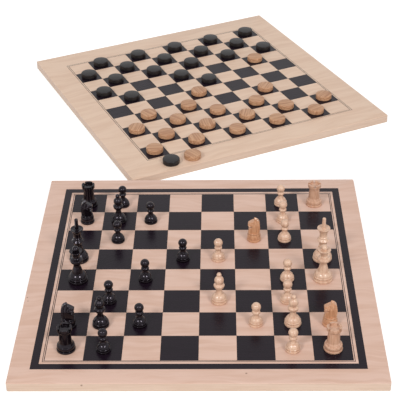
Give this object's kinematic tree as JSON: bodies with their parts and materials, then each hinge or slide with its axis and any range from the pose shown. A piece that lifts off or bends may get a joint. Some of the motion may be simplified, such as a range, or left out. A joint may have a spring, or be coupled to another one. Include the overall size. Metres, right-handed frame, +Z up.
{
  "type": "chess and draughts set",
  "caption": "Chess and draughts set: two square inlaid wooden boards, one with turned chessmen standing on it and one with round draughts, in play.",
  "frame": {"origin": "middle of the chess board's underside, on the surface that both boards lie on", "axes": "+Z up from the table, +Y from the chess board's front edge towards the draughts board behind it, +X to the right along the front edge"},
  "size_m": [0.6526, 1.141, 0.0844],
  "materials": {
    "pale_veneer": "satin",
    "black_veneer": "satin",
    "lipping_wood": "satin",
    "core_board": "matte",
    "backing_veneer": "matte",
    "white_wood": "varnished",
    "black_wood": "gloss lacquer"
  },
  "bodies": {
    "chess_board": {"chess_board_core": "core_board", "chess_board_lippings": "lipping_wood", "chess_board_backing": "backing_veneer", "chess_board_pale_border": "pale_veneer", "chess_board_black_border": "black_veneer", "chess_light_squares": "pale_veneer", "chess_dark_squares": "black_veneer"},
    "draughts_board": {"draughts_board_core": "core_board", "draughts_board_lippings": "lipping_wood", "draughts_board_backing": "backing_veneer", "draughts_board_pale_border": "pale_veneer", "draughts_board_lines": "black_veneer", "draughts_light_squares": "pale_veneer", "draughts_dark_squares": "black_veneer"},
    "black_rook_1": {"black_rook_1": "black_wood"},
    "black_rook_2": {"black_rook_2": "black_wood"},
    "black_knight_1": {"black_knight_1_base": "black_wood", "black_knight_1_head": "black_wood"},
    "black_knight_2": {"black_knight_2_base": "black_wood", "black_knight_2_head": "black_wood"},
    "black_bishop_1": {"black_bishop_1": "black_wood"},
    "black_bishop_2": {"black_bishop_2": "black_wood"},
    "black_king": {"black_king": "black_wood"},
    "black_queen": {"black_queen": "black_wood"},
    "black_pawn_1": {"black_pawn_1": "black_wood"},
    "black_pawn_2": {"black_pawn_2": "black_wood"},
    "black_pawn_3": {"black_pawn_3": "black_wood"},
    "black_pawn_4": {"black_pawn_4": "black_wood"},
    "black_pawn_5": {"black_pawn_5": "black_wood"},
    "black_pawn_6": {"black_pawn_6": "black_wood"},
    "black_pawn_7": {"black_pawn_7": "black_wood"},
    "black_pawn_8": {"black_pawn_8": "black_wood"},
    "white_rook_1": {"white_rook_1": "white_wood"},
    "white_rook_2": {"white_rook_2": "white_wood"},
    "white_knight_1": {"white_knight_1_base": "white_wood", "white_knight_1_head": "white_wood"},
    "white_knight_2": {"white_knight_2_base": "white_wood", "white_knight_2_head": "white_wood"},
    "white_bishop_1": {"white_bishop_1": "white_wood"},
    "white_bishop_2": {"white_bishop_2": "white_wood"},
    "white_king": {"white_king": "white_wood"},
    "white_queen": {"white_queen": "white_wood"},
    "white_pawn_1": {"white_pawn_1": "white_wood"},
    "white_pawn_2": {"white_pawn_2": "white_wood"},
    "white_pawn_3": {"white_pawn_3": "white_wood"},
    "white_pawn_4": {"white_pawn_4": "white_wood"},
    "white_pawn_5": {"white_pawn_5": "white_wood"},
    "white_pawn_6": {"white_pawn_6": "white_wood"},
    "white_pawn_7": {"white_pawn_7": "white_wood"},
    "white_pawn_8": {"white_pawn_8": "white_wood"},
    "black_draughts_row_1": {"black_draughts_row_1": "black_wood"},
    "black_draughts_row_2": {"black_draughts_row_2": "black_wood"},
    "black_draughts_row_3": {"black_draughts_row_3": "black_wood"},
    "black_draughts_forward": {"black_draughts_forward": "black_wood"},
    "black_draught_captured": {"black_draught_captured": "black_wood"},
    "white_draughts_row_1": {"white_draughts_row_1": "white_wood"},
    "white_draughts_row_2": {"white_draughts_row_2": "white_wood"},
    "white_draughts_row_3": {"white_draughts_row_3": "white_wood"},
    "white_draughts_forward": {"white_draughts_forward": "white_wood"},
    "white_draught_captured": {"white_draught_captured": "white_wood"}
  },
  "joints": [
    {"name": "draughts_board_slide", "type": "slide", "parent": "chess_board", "child": "draughts_board", "axis": [0, 1, 0], "range_m": [0, 0.15]},
    {"name": "black_rook_1_lift", "type": "slide", "parent": "chess_board", "child": "black_rook_1", "axis": [0, 0, 1], "range_m": [0, 0.1]},
    {"name": "black_rook_2_lift", "type": "slide", "parent": "chess_board", "child": "black_rook_2", "axis": [0, 0, 1], "range_m": [0, 0.1]},
    {"name": "black_knight_1_lift", "type": "slide", "parent": "chess_board", "child": "black_knight_1", "axis": [0, 0, 1], "range_m": [0, 0.1]},
    {"name": "black_knight_2_lift", "type": "slide", "parent": "chess_board", "child": "black_knight_2", "axis": [0, 0, 1], "range_m": [0, 0.1]},
    {"name": "black_bishop_1_lift", "type": "slide", "parent": "chess_board", "child": "black_bishop_1", "axis": [0, 0, 1], "range_m": [0, 0.1]},
    {"name": "black_bishop_2_lift", "type": "slide", "parent": "chess_board", "child": "black_bishop_2", "axis": [0, 0, 1], "range_m": [0, 0.1]},
    {"name": "black_king_lift", "type": "slide", "parent": "chess_board", "child": "black_king", "axis": [0, 0, 1], "range_m": [0, 0.1]},
    {"name": "black_queen_lift", "type": "slide", "parent": "chess_board", "child": "black_queen", "axis": [0, 0, 1], "range_m": [0, 0.1]},
    {"name": "black_pawn_1_lift", "type": "slide", "parent": "chess_board", "child": "black_pawn_1", "axis": [0, 0, 1], "range_m": [0, 0.1]},
    {"name": "black_pawn_2_lift", "type": "slide", "parent": "chess_board", "child": "black_pawn_2", "axis": [0, 0, 1], "range_m": [0, 0.1]},
    {"name": "black_pawn_3_lift", "type": "slide", "parent": "chess_board", "child": "black_pawn_3", "axis": [0, 0, 1], "range_m": [0, 0.1]},
    {"name": "black_pawn_4_lift", "type": "slide", "parent": "chess_board", "child": "black_pawn_4", "axis": [0, 0, 1], "range_m": [0, 0.1]},
    {"name": "black_pawn_5_lift", "type": "slide", "parent": "chess_board", "child": "black_pawn_5", "axis": [0, 0, 1], "range_m": [0, 0.1]},
    {"name": "black_pawn_6_lift", "type": "slide", "parent": "chess_board", "child": "black_pawn_6", "axis": [0, 0, 1], "range_m": [0, 0.1]},
    {"name": "black_pawn_7_lift", "type": "slide", "parent": "chess_board", "child": "black_pawn_7", "axis": [0, 0, 1], "range_m": [0, 0.1]},
    {"name": "black_pawn_8_lift", "type": "slide", "parent": "chess_board", "child": "black_pawn_8", "axis": [0, 0, 1], "range_m": [0, 0.1]},
    {"name": "white_rook_1_lift", "type": "slide", "parent": "chess_board", "child": "white_rook_1", "axis": [0, 0, 1], "range_m": [0, 0.1]},
    {"name": "white_rook_2_lift", "type": "slide", "parent": "chess_board", "child": "white_rook_2", "axis": [0, 0, 1], "range_m": [0, 0.1]},
    {"name": "white_knight_1_lift", "type": "slide", "parent": "chess_board", "child": "white_knight_1", "axis": [0, 0, 1], "range_m": [0, 0.1]},
    {"name": "white_knight_2_lift", "type": "slide", "parent": "chess_board", "child": "white_knight_2", "axis": [0, 0, 1], "range_m": [0, 0.1]},
    {"name": "white_bishop_1_lift", "type": "slide", "parent": "chess_board", "child": "white_bishop_1", "axis": [0, 0, 1], "range_m": [0, 0.1]},
    {"name": "white_bishop_2_lift", "type": "slide", "parent": "chess_board", "child": "white_bishop_2", "axis": [0, 0, 1], "range_m": [0, 0.1]},
    {"name": "white_king_lift", "type": "slide", "parent": "chess_board", "child": "white_king", "axis": [0, 0, 1], "range_m": [0, 0.1]},
    {"name": "white_queen_lift", "type": "slide", "parent": "chess_board", "child": "white_queen", "axis": [0, 0, 1], "range_m": [0, 0.1]},
    {"name": "white_pawn_1_lift", "type": "slide", "parent": "chess_board", "child": "white_pawn_1", "axis": [0, 0, 1], "range_m": [0, 0.1]},
    {"name": "white_pawn_2_lift", "type": "slide", "parent": "chess_board", "child": "white_pawn_2", "axis": [0, 0, 1], "range_m": [0, 0.1]},
    {"name": "white_pawn_3_lift", "type": "slide", "parent": "chess_board", "child": "white_pawn_3", "axis": [0, 0, 1], "range_m": [0, 0.1]},
    {"name": "white_pawn_4_lift", "type": "slide", "parent": "chess_board", "child": "white_pawn_4", "axis": [0, 0, 1], "range_m": [0, 0.1]},
    {"name": "white_pawn_5_lift", "type": "slide", "parent": "chess_board", "child": "white_pawn_5", "axis": [0, 0, 1], "range_m": [0, 0.1]},
    {"name": "white_pawn_6_lift", "type": "slide", "parent": "chess_board", "child": "white_pawn_6", "axis": [0, 0, 1], "range_m": [0, 0.1]},
    {"name": "white_pawn_7_lift", "type": "slide", "parent": "chess_board", "child": "white_pawn_7", "axis": [0, 0, 1], "range_m": [0, 0.1]},
    {"name": "white_pawn_8_lift", "type": "slide", "parent": "chess_board", "child": "white_pawn_8", "axis": [0, 0, 1], "range_m": [0, 0.1]},
    {"name": "black_draughts_row_1_lift", "type": "slide", "parent": "draughts_board", "child": "black_draughts_row_1", "axis": [0, 0, 1], "range_m": [0, 0.1]},
    {"name": "black_draughts_row_2_lift", "type": "slide", "parent": "draughts_board", "child": "black_draughts_row_2", "axis": [0, 0, 1], "range_m": [0, 0.1]},
    {"name": "black_draughts_row_3_lift", "type": "slide", "parent": "draughts_board", "child": "black_draughts_row_3", "axis": [0, 0, 1], "range_m": [0, 0.1]},
    {"name": "black_draughts_forward_lift", "type": "slide", "parent": "draughts_board", "child": "black_draughts_forward", "axis": [0, 0, 1], "range_m": [0, 0.1]},
    {"name": "black_draught_captured_lift", "type": "slide", "parent": "draughts_board", "child": "black_draught_captured", "axis": [0, 0, 1], "range_m": [0, 0.1]},
    {"name": "white_draughts_row_1_lift", "type": "slide", "parent": "draughts_board", "child": "white_draughts_row_1", "axis": [0, 0, 1], "range_m": [0, 0.1]},
    {"name": "white_draughts_row_2_lift", "type": "slide", "parent": "draughts_board", "child": "white_draughts_row_2", "axis": [0, 0, 1], "range_m": [0, 0.1]},
    {"name": "white_draughts_row_3_lift", "type": "slide", "parent": "draughts_board", "child": "white_draughts_row_3", "axis": [0, 0, 1], "range_m": [0, 0.1]},
    {"name": "white_draughts_forward_lift", "type": "slide", "parent": "draughts_board", "child": "white_draughts_forward", "axis": [0, 0, 1], "range_m": [0, 0.1]},
    {"name": "white_draught_captured_lift", "type": "slide", "parent": "draughts_board", "child": "white_draught_captured", "axis": [0, 0, 1], "range_m": [0, 0.1]}
  ]
}
